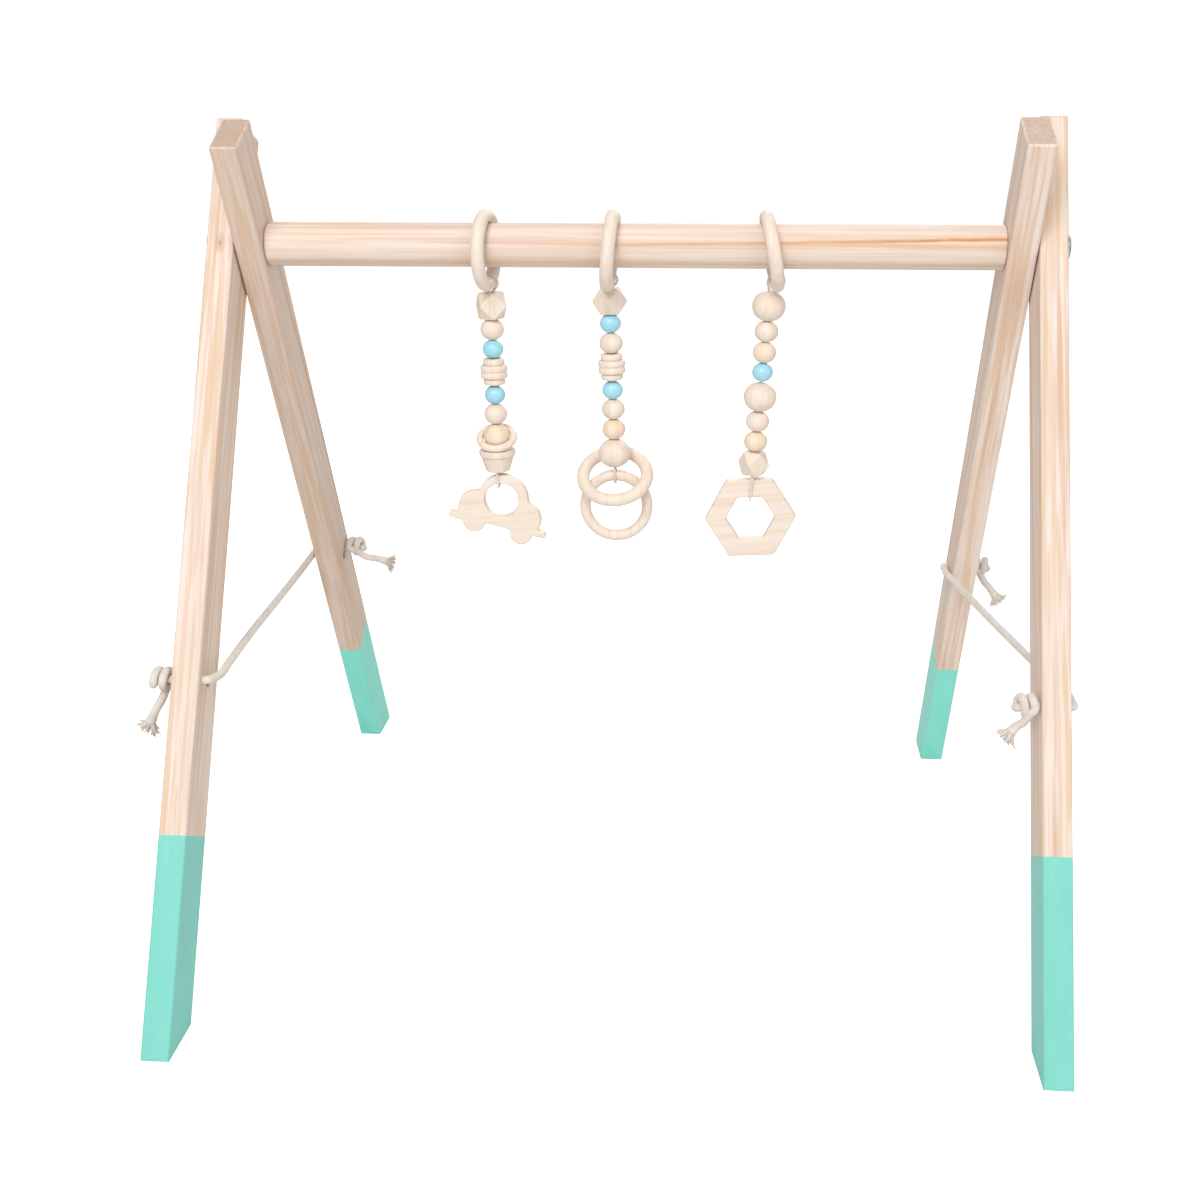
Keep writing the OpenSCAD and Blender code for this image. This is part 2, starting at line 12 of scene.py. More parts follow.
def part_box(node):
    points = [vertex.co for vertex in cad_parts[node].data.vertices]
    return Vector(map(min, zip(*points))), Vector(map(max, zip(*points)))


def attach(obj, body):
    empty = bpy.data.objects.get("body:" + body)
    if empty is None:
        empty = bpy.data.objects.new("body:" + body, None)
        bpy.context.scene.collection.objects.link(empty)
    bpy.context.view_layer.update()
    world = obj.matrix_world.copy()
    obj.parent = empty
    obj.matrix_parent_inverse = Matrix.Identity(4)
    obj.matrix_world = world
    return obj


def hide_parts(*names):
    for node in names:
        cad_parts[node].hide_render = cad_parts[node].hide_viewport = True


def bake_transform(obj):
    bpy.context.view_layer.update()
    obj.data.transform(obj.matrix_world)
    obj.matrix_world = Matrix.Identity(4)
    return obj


MM = 0.001
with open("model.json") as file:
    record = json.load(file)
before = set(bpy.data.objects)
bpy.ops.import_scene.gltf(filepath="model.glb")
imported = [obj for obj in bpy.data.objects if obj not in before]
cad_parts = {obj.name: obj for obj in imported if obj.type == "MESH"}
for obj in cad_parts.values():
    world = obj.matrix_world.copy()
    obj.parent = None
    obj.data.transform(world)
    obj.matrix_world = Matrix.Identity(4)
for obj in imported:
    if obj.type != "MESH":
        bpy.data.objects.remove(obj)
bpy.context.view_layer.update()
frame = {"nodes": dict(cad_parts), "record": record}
record = frame["record"]
JOINTS = {j["name"]: j for j in record["behaviour"]["joints"]}
rng = random.Random(7)


def srgb(hexa):
    """Linear colour of a six-digit sRGB code."""
    out = []
    for i in (0, 2, 4):
        c = int(hexa[i:i + 2], 16) / 255
        out.append(c / 12.92 if c <= 0.04045 else ((c + 0.055) / 1.055) ** 2.4)
    return (*out, 1.0)


def centre(node):
    lo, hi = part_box(node)
    return (Vector(lo) + Vector(hi)) / 2


# ---------- node helpers ----------

class Graph:
    """Short hand for building a material's node tree; every value is a socket or a number."""

    def __init__(self, name):
        self.mat = bpy.data.materials.new(name)
        self.mat.use_nodes = True
        self.tree = self.mat.node_tree
        self.nodes = self.tree.nodes
        self.links = self.tree.links
        self.bsdf = self.nodes["Principled BSDF"]
        source = self.nodes.new("ShaderNodeTexCoord")
        self.coord = source.outputs["Object"]
        self.normal = source.outputs["Normal"]

    def put(self, socket, value):
        if isinstance(value, bpy.types.NodeSocket):
            self.links.new(value, socket)
        else:
            socket.default_value = value

    def math(self, op, a, b=0.0, c=0.0, clamp=False):
        n = self.nodes.new("ShaderNodeMath")
        n.operation = op
        n.use_clamp = clamp
        for s, v in zip(n.inputs, (a, b, c)):
            self.put(s, v)
        return n.outputs[0]

    def add(self, a, b):
        return self.math("ADD", a, b)

    def mul(self, a, b):
        return self.math("MULTIPLY", a, b)

    def vec(self, op, a, b=(0, 0, 0), scale=None):
        n = self.nodes.new("ShaderNodeVectorMath")
        n.operation = op
        self.put(n.inputs[0], a)
        if scale is None:
            self.put(n.inputs[1], b)
        else:
            self.put(n.inputs["Scale"], scale)
        return n.outputs["Value"] if op in ("DOT_PRODUCT", "LENGTH", "DISTANCE") else n.outputs["Vector"]

    def xyz(self, x, y, z):
        n = self.nodes.new("ShaderNodeCombineXYZ")
        for s, v in zip(n.inputs, (x, y, z)):
            self.put(s, v)
        return n.outputs[0]

    def noise(self, vector, scale=1.0, detail=2.0, rough=0.5, distort=0.0):
        n = self.nodes.new("ShaderNodeTexNoise")
        self.put(n.inputs["Vector"], vector)
        n.inputs["Scale"].default_value = scale
        n.inputs["Detail"].default_value = detail
        n.inputs["Roughness"].default_value = rough
        n.inputs["Distortion"].default_value = distort
        return n.outputs["Fac"]

    def ramp(self, fac, stops, mode="EASE"):
        n = self.nodes.new("ShaderNodeValToRGB")
        n.color_ramp.interpolation = mode
        els = n.color_ramp.elements
        while len(els) < len(stops):
            els.new(0.5)
        for e, (at, col) in zip(els, stops):
            e.position = at
            e.color = col if isinstance(col, tuple) else (col, col, col, 1)
        self.put(n.inputs[0], fac)
        return n.outputs[0]

    def mix(self, fac, a, b, blend="MIX"):
        n = self.nodes.new("ShaderNodeMix")
        n.data_type = "RGBA"
        n.blend_type = blend
        self.put(n.inputs[0], fac)
        self.put(n.inputs[6], a)
        self.put(n.inputs[7], b)
        return n.outputs[2]

    def step(self, value, low, high):
        """0 below low, 1 above high, smooth between."""
        n = self.nodes.new("ShaderNodeMapRange")
        n.interpolation_type = "SMOOTHSTEP"
        self.put(n.inputs[0], value)
        n.inputs[1].default_value = low
        n.inputs[2].default_value = high
        return n.outputs[0]

    def bump(self, height, distance, strength=1.0, normal=None):
        n = self.nodes.new("ShaderNodeBump")
        n.inputs["Strength"].default_value = strength
        n.inputs["Distance"].default_value = distance
        self.put(n.inputs["Height"], height)
        if normal is not None:
            self.put(n.inputs["Normal"], normal)
        return n.outputs[0]

    def finish(self, colour, rough, normal=None, **more):
        self.put(self.bsdf.inputs["Base Color"], colour)
        self.put(self.bsdf.inputs["Roughness"], rough)
        if normal is not None:
            self.put(self.bsdf.inputs["Normal"], normal)
        for k, v in more.items():
            self.put(self.bsdf.inputs[k.replace("_", " ")], v)
        return self.mat


def local(g, origin, across, thick, along):
    """Object coordinates in millimetres in a board's own axes, with the grain along the third."""
    p = g.vec("SUBTRACT", g.coord, tuple(origin))
    parts = [g.mul(g.vec("DOT_PRODUCT", p, tuple(a)), 1000) for a in (across, thick, along)]
    return parts


def wood_colour(g, u, v, w, pith, spacing, tones, seed, wander=1.0, streak=0.0, bands=1.0):
    """Soft growth rings round a wandering pith and long pink and yellow bands, with fine fibres along w.

    Returns colour, height and the strength of the late wood.
    """
    slow = g.noise(g.xyz(g.add(g.mul(u, 0.02), seed), g.mul(v, 0.02), g.mul(w, 0.0045)), 1, 2, 0.5)
    slow2 = g.noise(g.xyz(g.mul(v, 0.02), g.add(g.mul(u, 0.02), seed + 3), g.mul(w, 0.004)), 1, 2, 0.5)
    du = g.add(g.add(u, -pith[0]), g.mul(g.add(slow, -0.5), 46 * wander))
    dv = g.add(g.add(v, -pith[1]), g.mul(g.add(slow2, -0.5), 46 * wander))
    r = g.math("SQRT", g.add(g.mul(du, du), g.mul(dv, dv)))
    fine = g.noise(g.xyz(g.mul(u, 1.1), g.mul(v, 1.1), g.add(g.mul(w, 0.02), seed)), 1, 3, 0.6)
    r = g.add(r, g.mul(g.add(fine, -0.5), 1.4))
    ring = g.math("FRACT", g.math("DIVIDE", r, spacing))
    years = g.noise(g.xyz(g.math("DIVIDE", r, spacing * 2.3), seed, 0.5), 1, 2, 0.7)
    late = g.ramp(ring, [(0.0, 0.0), (0.4, 0.10), (0.78, 0.7), (0.88, 1.0), (0.96, 0.3), (1.0, 0.0)])
    late = g.mul(late, g.step(years, 0.35, 0.75))
    fibre = g.noise(g.xyz(g.mul(u, 3.2), g.mul(v, 3.2), g.add(g.mul(w, 0.045), seed)), 1, 4, 0.65)
    flecks = g.step(g.noise(g.xyz(g.mul(u, 2.0), g.mul(v, 2.0), g.add(g.mul(w, 0.09), seed + 9)), 1, 2, 0.5), 0.66, 0.8)
    cloud = g.noise(g.xyz(g.mul(u, 0.06), g.mul(v, 0.06), g.add(g.mul(w, 0.008), seed)), 1, 3, 0.55)
    yellow = g.noise(g.xyz(g.mul(u, 0.24), g.mul(v, 0.24), g.add(g.mul(w, 0.004), seed + 2)), 1, 2, 0.5)
    pink = g.noise(g.xyz(g.mul(u, 0.3), g.mul(v, 0.3), g.add(g.mul(w, 0.005), seed + 7)), 1, 2, 0.5)
    pale, mid, dark, deep, rosy = (srgb(t) for t in tones)
    colour = g.mix(g.step(cloud, 0.3, 0.75), pale, mid)
    colour = g.mix(g.mul(g.step(pink, 0.47, 0.62), 0.6 * bands), colour, rosy)
    colour = g.mix(g.mul(g.step(yellow, 0.5, 0.62), 0.55 * bands), colour, dark)
    colour = g.mix(g.mul(late, 0.5), colour, dark)
    colour = g.mix(g.mul(g.step(fibre, 0.52, 0.85), 0.22), colour, dark)
    colour = g.mix(g.mul(flecks, 0.16), colour, deep)
    if streak:
        band = g.noise(g.xyz(g.mul(u, 0.16), g.mul(v, 0.16), g.add(g.mul(w, 0.0035), seed + 5)), 1, 1, 0.4)
        colour = g.mix(g.mul(g.step(band, 0.6, 0.74), streak), colour, deep)
    height = g.add(g.mul(fibre, 0.7), g.mul(late, -0.3))
    return colour, height, late


PINE_TONES = ("e6d8cd", "dfccbc", "d8b897", "c08d62", "dcbfae")
BEECH_TONES = ("e9dccf", "e5d3c2", "dbc0a4", "c6a07c", "e1cabb")
WARM_TONES = ("ebdac4", "e8d1b4", "dcbd98", "c69d72", "e4ccb4")
# pale, middle and deep tones of the mint paint; the rear legs' copy is lighter, painted light for the light their
# downward-facing fronts miss
FRONT_MINT = ("7ecfc1", "79cbbc", "70bfb0")
REAR_MINT_PAINTED_LIGHT = ("85e0d0", "80dccb", "76cdbd")


def leg_axes(node):
    """Bolt centre, and the leg's width, thickness and long axes (pointing up), from its joint and foot."""
    lo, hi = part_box(node)
    side = node.split("_")[0]
    bolt = centre(side + "_bolt")
    front = abs(lo[1]) > abs(hi[1])
    foot = Vector((0, lo[1] if front else hi[1], 0))
    lean = math.atan2(foot.y, bolt.z)
    along = Vector((0, -math.sin(lean), math.cos(lean)))
    across = Vector((0, math.cos(lean), math.sin(lean)))
    return Vector(((lo[0] + hi[0]) / 2, 0, bolt.z)), across, Vector((1, 0, 0)), along


def pine_leg(name, node, seed, paint_len, paint, painted_shade, knot=None):
    g = Graph(name)
    origin, across, thick, along = leg_axes(node)
    u, v, w = local(g, origin, across, thick, along)
    v_bent = v
    if knot:
        # grain bends round the knot
        kv, kw = g.add(v, -knot[0]), g.add(w, -knot[1])
        near = g.math("EXPONENT", g.mul(g.add(g.mul(kv, kv), g.mul(g.mul(kw, kw), 0.10)), -0.03))
        v_bent = g.add(v, g.mul(g.mul(near, g.step(kv, -3.0, 3.0)), 3.0))
    colour, height, late = wood_colour(g, u, v_bent, w, (14 + seed % 5 * 9, 70 + seed * 3), 6.0, PINE_TONES,
                                       seed, 0.8, 0.35, 1.3)
    if knot:
        wob = g.noise(g.xyz(g.mul(v, 0.4), g.mul(w, 0.4), seed), 1, 2, 0.6)
        d = g.math("SQRT", g.add(g.mul(kv, kv), g.mul(g.mul(kw, kw), 0.3)))
        d = g.add(d, g.mul(g.add(wob, -0.5), 2.0))
        colour = g.mix(g.mul(g.math("SUBTRACT", 1, g.step(d, 2.4, 5.4)), 0.4), colour, srgb("c39468"))
        colour = g.mix(g.mul(g.math("SUBTRACT", 1, g.step(d, 0.4, 2.0)), 0.6), colour, srgb("a9764a"))
    # painted shade: the wood is darkened towards a brown by this amount, 0.3 on the left rear leg, for the light its
    # face misses
    colour = g.mix(painted_shade, colour, srgb("b2957f"))
    # the sawn top end is darker
    end = g.step(g.vec("DOT_PRODUCT", g.normal, tuple(along)), 0.75, 0.95)
    colour = g.mix(g.mul(end, 0.5), colour, srgb("a58a74"))
    # paint below a line square across the leg; z = 0 of the line is paint_len above the foot's middle
    line = -origin.z * 1000 / along.z + paint_len
    edge = g.mul(g.add(g.noise(g.xyz(g.mul(u, 0.5), g.mul(v, 0.5), seed), 1, 3, 0.6), -0.5), 0.5)
    bare = g.step(g.add(w, edge), line - 0.25, line + 0.25)
    brush = g.noise(g.xyz(g.mul(u, 0.7), g.mul(v, 0.7), g.mul(w, 0.03)), 1, 3, 0.6)
    cloud = g.noise(g.xyz(g.mul(u, 0.05), g.mul(v, 0.05), g.mul(w, 0.02)), 1, 2, 0.5)
    pale, mid, deep = (srgb(t) for t in paint)
    coat = g.mix(g.step(cloud, 0.3, 0.7), mid, pale)
    coat = g.mix(g.mul(g.step(brush, 0.5, 0.8), 0.3), coat, deep)
    coat = g.mix(g.mul(late, 0.2), coat, deep)
    colour = g.mix(bare, coat, colour)
    speck = g.noise(g.xyz(g.mul(u, 2.4), g.mul(v, 2.4), g.mul(w, 2.4)), 1, 2, 0.5)
    height = g.mix(bare, g.add(g.mul(brush, 0.5), g.mul(speck, 0.25)), height)
    rough = g.add(g.mul(bare, 0.16), g.add(0.40, g.mul(g.add(brush, -0.5), 0.12)))
    return g.finish(colour, rough, g.bump(height, 0.00025, 0.55), Specular_IOR_Level=0.4)


def pine_bar(name):
    g = Graph(name)
    c = centre("bar")
    u, v, w = local(g, c, Vector((0, 1, 0)), Vector((0, 0, 1)), Vector((1, 0, 0)))
    colour, height, _ = wood_colour(g, u, v, w, (5, -34), 5.0, PINE_TONES, 3.7, 0.9, 0.3)
    # a thin orange resin line along the front, climbing and darkening towards the right
    wav = g.mul(g.add(g.noise(g.xyz(g.mul(w, 0.02), 2.0, 0.0), 1, 2, 0.5), -0.5), 3.0)
    off = g.math("ABSOLUTE", g.add(g.add(g.add(v, -1.9), g.mul(w, -0.0193)), wav))
    side = g.math("SUBTRACT", 1, g.step(u, -9, -3))
    reach = g.mul(g.mul(side, g.step(w, -40, 20)), g.add(0.35, g.mul(g.step(w, 60, 250), 0.55)))
    grainy = g.noise(g.xyz(g.mul(w, 0.05), g.mul(v, 1.4), g.mul(u, 1.4)), 1, 3, 0.7)
    line = g.mul(g.math("SUBTRACT", 1, g.step(off, 0.5, 1.6)), g.step(grainy, 0.2, 0.55))
    halo = g.mul(g.math("SUBTRACT", 1, g.step(off, 1.0, 5.0)), 0.45)
    colour = g.mix(g.mul(halo, reach), colour, srgb("dcb07c"))
    colour = g.mix(g.mul(line, reach), colour, srgb("bf7f42"))
    rough = g.add(0.50, g.mul(height, 0.1))
    return g.finish(colour, rough, g.bump(height, 0.00025, 0.5), Specular_IOR_Level=0.35)


def turned_wood(name, tones, seed, grain=Vector((0, 0, 1)), spacing=2.4):
    g = Graph(name)
    a = grain.normalized()
    side = a.orthogonal().normalized()
    u, v, w = local(g, Vector((0.013 * seed, 0.007 * seed, 0.003 * seed)), side, a.cross(side), a)
    colour, height, _ = wood_colour(g, u, v, w, (19, 31), spacing, tones, seed, 0.7, 0.0)
    colour = g.mix(0.35, colour, srgb(tones[0]))
    rough = g.add(0.46, g.mul(height, 0.1))
    return g.finish(colour, rough, g.bump(height, 0.0001, 0.5), Specular_IOR_Level=0.4)


def blue_paint(name):
    g = Graph(name)
    p = g.vec("SCALE", g.coord, scale=1000.0)
    slow = g.noise(p, 0.09, 2, 0.5)
    peel = g.noise(p, 1.2, 3, 0.55)
    speck = g.step(g.noise(p, 1.7, 1, 0.4), 0.70, 0.78)
    colour = g.mix(g.step(slow, 0.3, 0.7), srgb("98d1e1"), srgb("a4d8e6"))
    colour = g.mix(g.mul(speck, 0.25), colour, srgb("74bfd9"))
    rough = g.add(0.30, g.mul(peel, 0.14))
    return g.finish(colour, rough, g.bump(peel, 0.0001, 0.35), Coat_Weight=0.15, Coat_Roughness=0.3)


def cotton(name, tint, fibre_scale=2.2):
    g = Graph(name)
    p = g.vec("SCALE", g.coord, scale=1000.0)
    fluff = g.noise(p, fibre_scale, 4, 0.75)
    slow = g.noise(p, 0.12, 2, 0.5)
    pale, mid, dark = (srgb(t) for t in tint)
    colour = g.mix(g.step(slow, 0.3, 0.7), pale, mid)
    colour = g.mix(g.mul(g.step(fluff, 0.5, 0.85), 0.5), colour, dark)
    return g.finish(colour, 0.9, g.bump(fluff, 0.0003, 0.6), Sheen_Weight=0.35, Sheen_Roughness=0.5,
                    Specular_IOR_Level=0.2)


def metal(name, tone, rough, radial=None):
    g = Graph(name)
    p = g.vec("SCALE", g.coord, scale=1000.0)
    if radial is not None:
        q = g.vec("SUBTRACT", g.coord, tuple(radial))
        sep = g.nodes.new("ShaderNodeSeparateXYZ")
        g.put(sep.inputs[0], q)
        yy, zz = sep.outputs[1], sep.outputs[2]
        r = g.mul(g.math("SQRT", g.add(g.mul(yy, yy), g.mul(zz, zz))), 1000)
        turned = g.noise(g.xyz(g.mul(r, 3.0), 0.0, 0.0), 1, 3, 0.6)
    else:
        turned = g.noise(p, 3.0, 3, 0.6)
    smear = g.noise(p, 0.3, 3, 0.6)
    colour = g.mix(g.step(smear, 0.35, 0.7), srgb(tone), srgb("a9abad"))
    return g.finish(colour, g.add(rough, g.mul(turned, 0.16)), g.bump(turned, 0.00004, 0.4), Metallic=1.0)


M_BEECH = [turned_wood(f"beech_{i}", BEECH_TONES, 1.3 + 2.1 * i) for i in range(3)]
M_WARM = [turned_wood(f"warm_{i}", WARM_TONES, 2.2 + 1.7 * i) for i in range(2)]
M_PLATE = turned_wood("plate_wood", BEECH_TONES, 4.4, Vector((1, 0, 0.12)), 2.8)
M_RING = turned_wood("ring_wood", BEECH_TONES, 5.9, Vector((0, 0.3, 1)), 2.6)
M_BLUE = blue_paint("blue_paint")
M_ROPE = cotton("rope_cotton", ("ded6cd", "d6cabd", "bba994"), 1.6)
M_CORD = cotton("cord_cotton", ("e8dfda", "e2d4cc", "cbb4a8"), 3.0)
M_STEEL = metal("zinc_steel", "c9cbcd", 0.22, centre("bar"))
M_BRASS = metal("brass", "c9a55a", 0.25)

# ---------- mesh helpers ----------


def new_object(name, verts, faces, mat, smooth=True):
    mesh = bpy.data.meshes.new(name)
    mesh.from_pydata([tuple(v) for v in verts], [], faces)
    mesh.update()
    if smooth:
        mesh.polygons.foreach_set("use_smooth", [True] * len(mesh.polygons))
    mesh.materials.append(mat)
    obj = bpy.data.objects.new(name, mesh)
    bpy.context.scene.collection.objects.link(obj)
    return obj


def catmull(points, step):
    """Smooth path through points, resampled to an even step."""
    pts = [Vector(p) for p in points]
    pts = [2 * pts[0] - pts[1]] + pts + [2 * pts[-1] - pts[-2]]
    fine = []
    for i in range(1, len(pts) - 2):
        p0, p1, p2, p3 = pts[i - 1:i + 3]
        for k in range(16):
            t = k / 16
            fine.append(0.5 * ((2 * p1) + (p2 - p0) * t + (2 * p0 - 5 * p1 + 4 * p2 - p3) * t * t
                               + (3 * p1 - p0 - 3 * p2 + p3) * t ** 3))
    fine.append(pts[-2])
    out, left = [fine[0]], step
    for a, b in zip(fine, fine[1:]):
        seg = (b - a).length
        while seg >= left and seg > 0:
            a = a + (b - a) * (left / seg)
            seg -= left
            out.append(a)
            left = step
        left -= seg
    if (out[-1] - fine[-1]).length > step * 0.4:
        out.append(fine[-1])
    return out


def frames_of(path, closed=False):
    """Tangent and a carried side direction at each point."""
    n = len(path)
    tans = []
    for i in range(n):
        a = path[(i - 1) % n] if closed else path[max(i - 1, 0)]
        b = path[(i + 1) % n] if closed else path[min(i + 1, n - 1)]
        tans.append((b - a).normalized())
    side = tans[0].orthogonal().normalized()
    sides = []
    for t in tans:
        side = (side - t * side.dot(t)).normalized()
        sides.append(side.copy())
    if closed:
        # spread the leftover turn of the carried direction along the loop
        end = (sides[-1] - tans[0] * sides[-1].dot(tans[0])).normalized()
        off = math.atan2(sides[0].cross(end).dot(tans[0]), sides[0].dot(end))
        sides = [Quaternion(t, -off * i / n) @ s for i, (t, s) in enumerate(zip(tans, sides))]
    return tans, sides


def twisted(path, radius, strands, pitch, sides=10, yarns=0, closed=False, taper=0.0):
    """Verts and faces of a rope of twisted strands laid along a path."""
    tans, carried = frames_of(path, closed)
    n = len(path)
    sr = radius * (0.56 if strands == 3 else 0.53)
    hr = radius - sr
    length = sum((b - a).length for a, b in zip(path, path[1:]))
    if closed:
        length += (path[0] - path[-1]).length
        pitch = length / max(1, round(length / pitch))
    verts, faces = [], []
    for s in range(strands):
        base = len(verts)
        run = 0.0
        for i, (p, t, u) in enumerate(zip(path, tans, carried)):
            if i:
                run += (p - path[i - 1]).length
            v = t.cross(u)
            turn = 2 * math.pi * (run / pitch + s / strands)
            radial = u * math.cos(turn) + v * math.sin(turn)
            lay = 2 * math.pi * hr / pitch
            swing = (v * math.cos(turn) - u * math.sin(turn))
            along = (t + swing * lay).normalized()
            binorm = along.cross(radial).normalized()
            ends = min(run, length - run) if not closed else length
            shrink = 1 - taper * max(0.0, 1 - ends / (2 * radius))
            c = p + radial * hr * shrink
            for k in range(sides):
                a = 2 * math.pi * k / sides
                r = sr * (1 + (0.05 * math.cos(yarns * a - 2 * math.pi * run / (pitch * 0.45)) if yarns else 0))
                verts.append(c + (radial * math.cos(a) + binorm * math.sin(a)) * r * shrink)
        last = n if closed else n - 1
        for i in range(last):
            for k in range(sides):
                a, b = base + i * sides + k, base + i * sides + (k + 1) % sides
                j = ((i + 1) % n) * sides
                faces.append((a, b, base + j + (k + 1) % sides, base + j + k))
        if not closed:
            faces.append(tuple(base + k for k in range(sides - 1, -1, -1)))
            faces.append(tuple(base + (n - 1) * sides + k for k in range(sides)))
    return verts, faces


def tube(path, radii, sides):
    tans, carried = frames_of(path)
    verts, faces = [], []
    for p, t, u, r in zip(path, tans, carried, radii):
        v = t.cross(u)
        for k in range(sides):
            a = 2 * math.pi * k / sides
            verts.append(p + (u * math.cos(a) + v * math.sin(a)) * r)
    for i in range(len(path) - 1):
        for k in range(sides):
            a, b = i * sides + k, i * sides + (k + 1) % sides
            faces.append((a, b, b + sides, a + sides))
    faces.append(tuple(range(sides - 1, -1, -1)))
    faces.append(tuple((len(path) - 1) * sides + k for k in range(sides)))
    return verts, faces


def merge(parts):
    verts, faces = [], []
    for v, f in parts:
        base = len(verts)
        verts += v
        faces += [tuple(base + i for i in face) for face in f]
    return verts, faces


def lathe(profile, segments, place):
    """Closed solid of revolution: profile is a closed ring of (radius, height) with radius above zero."""
    verts, faces = [], []
    m = len(profile)
    for j in range(segments):
        a = 2 * math.pi * j / segments
        for r, z in profile:
            verts.append(place @ Vector((r * math.cos(a), r * math.sin(a), z)))
    for j in range(segments):
        for i in range(m):
            a = j * m + i
            b = j * m + (i + 1) % m
            c = ((j + 1) % segments) * m
            faces.append((a, c + i, c + (i + 1) % m, b))
    return verts, faces


# ---------- CAD nodes that keep their shape ----------

# columns: leg, grain seed, mint tones, amount of painted shade on the wood, knot
for name, seed, paint, painted_shade, knot in (("left_front_leg", 1.0, FRONT_MINT, 0.0, (0.5, -8.0)),
                                       ("left_rear_leg", 2.6, REAR_MINT_PAINTED_LIGHT, 0.3, None),
                                       ("right_front_leg", 4.1, FRONT_MINT, 0.0, None),
                                       ("right_rear_leg", 5.7, REAR_MINT_PAINTED_LIGHT, 0.0, None)):
    obj = frame["nodes"][name]
    obj.data.materials.clear()
    obj.data.materials.append(pine_leg(name + "_pine", name, seed, 151, paint, painted_shade, knot))
bar = frame["nodes"]["bar"]
bar.data.materials.clear()
bar.data.materials.append(pine_bar("bar_pine"))
for side in ("left", "right"):
    for kind in ("bolt", "spacer", "head_washer", "insert"):
        obj = frame["nodes"][f"{side}_{kind}"]
        obj.data.materials.clear()
        obj.data.materials.append(M_BRASS if kind == "insert" else M_STEEL)

for name, obj in frame["nodes"].items():
    if name.endswith("_cord"):
        obj.data.materials.clear()
        obj.data.materials.append(M_CORD)

# ---------- ropes ----------

ROPE_R = 3.0 * MM
HOLE_DIST = 329 * MM


def rope_hole(leg):
    """Middle of a leg's rope hole, and the leg's two faces along X."""
    origin, _, _, along = leg_axes(leg)
    lo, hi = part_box(leg)
    return origin - along * HOLE_DIST, lo[0], hi[0]


def knot_path(face, out, turns, tip, hand=1):
    """Points of a stopper knot outside a leg's face, from the face outwards, ending down a tail at tip.

    out is +1 or -1 along X; tip is (outward, down, sideways) in millimetres from the hole.
    """
    e1, e2 = Vector((out, 0, 0)), Vector((0, 0, -1))
    e3 = e1.cross(e2) * hand

    def at(x, r, deg):
        a = math.radians(deg)
        return face + (e1 * x + e2 * (r * math.cos(a)) + e3 * (r * math.sin(a))) * MM

    start = -90 - 360 * turns
    pts = [at(0, 0, 0), at(4, 0, 0), at(9, 0.4, start - 60), at(13.0, 1.4, start - 60), at(15.2, 3.6, start - 25)]
    n = int(turns * 8)
    for i in range(n + 1):
        f = i / n
        pts.append(at(14.2 - 10.2 * f, 5.9 + 0.25 * math.sin(9 * f), start + 360 * turns * f))
    x0, d0, s0 = 4.5, 6.0, -6.0
    for f in (0.12, 0.35, 0.65, 1.0):
        pts.append(face + (e1 * (x0 + (tip[0] - x0) * f ** 0.8) + e2 * (d0 * min(1, 3 * f) + (tip[1] - d0) * f)
                           + e3 * (s0 + (tip[2] * hand - s0) * min(1, 1.6 * f))) * MM)
    return pts


def braided(path, radius, flare):
    """Smooth cotton rope with a faint braid, whose two ends open out a little."""
    tans, carried = frames_of(path)
    sides = 20
    runs = [0.0]
    for a, b in zip(path, path[1:]):
        runs.append(runs[-1] + (b - a).length)
    verts, faces = [], []
    for p, t, u, run in zip(path, tans, carried, runs):
        v = t.cross(u)
        near_end = min(run, runs[-1] - run) / (9 * MM)
        grow = 1 + flare * max(0.0, 1 - near_end) ** 1.5
        for k in range(sides):
            a = 2 * math.pi * k / sides
            lay = 2 * math.pi * run / (7 * MM)
            weave = 0.022 * math.cos(5 * a - lay) * math.cos(5 * a + lay)
            verts.append(p + (u * math.cos(a) + v * math.sin(a)) * radius * (grow + weave))
    for i in range(len(path) - 1):
        for k in range(sides):
            a, b = i * sides + k, i * sides + (k + 1) % sides
            faces.append((a, b, b + sides, a + sides))
    faces.append(tuple(range(sides - 1, -1, -1)))
    faces.append(tuple((len(path) - 1) * sides + k for k in range(sides)))
    return verts, faces


def tuft(path, seed):
    """The frayed end of a rope: thick curled yarns that open into a mop, with fine fibres between them."""
    r = random.Random(seed)
    end, before = path[-1], path[-5]
    t = (end - before).normalized()
    u = t.orthogonal().normalized()
    v = t.cross(u)
    parts = []
    for count, thick, long, spread in ((30, 0.85, 9.5, 1.25), (34, 0.28, 11.0, 1.35)):
        for i in range(count):
            a = 2.4 * i + r.uniform(-0.3, 0.3)
            out = math.sqrt((i + 0.5) / count)
            side = u * math.cos(a) + v * math.sin(a)
            across = t.cross(side)
            size = long * r.uniform(0.8, 1.12) * MM
            curl = r.uniform(-0.35, 0.35)
            pts = []
            for k in range(9):
                f = k / 8
                bend = spread * out * f
                ahead, aside = math.sin(bend) / max(bend, 0.01), (1 - math.cos(bend)) / max(bend, 0.01)
                pts.append(end - t * 2.5 * MM + side * 2.6 * MM * out
                           + (t * ahead + side * aside * 1.3) * size * f
                           + across * curl * size * math.sin(2.2 * f) * f
                           - Vector((0, 0, 0.10 * size * f * f)))
            radii = [thick * MM * (1 - 0.25 * k / 8) for k in range(8)] + [thick * MM * 0.35]
            parts.append(tube(pts, radii, 7 if thick > 0.5 else 4))
    return merge(parts)


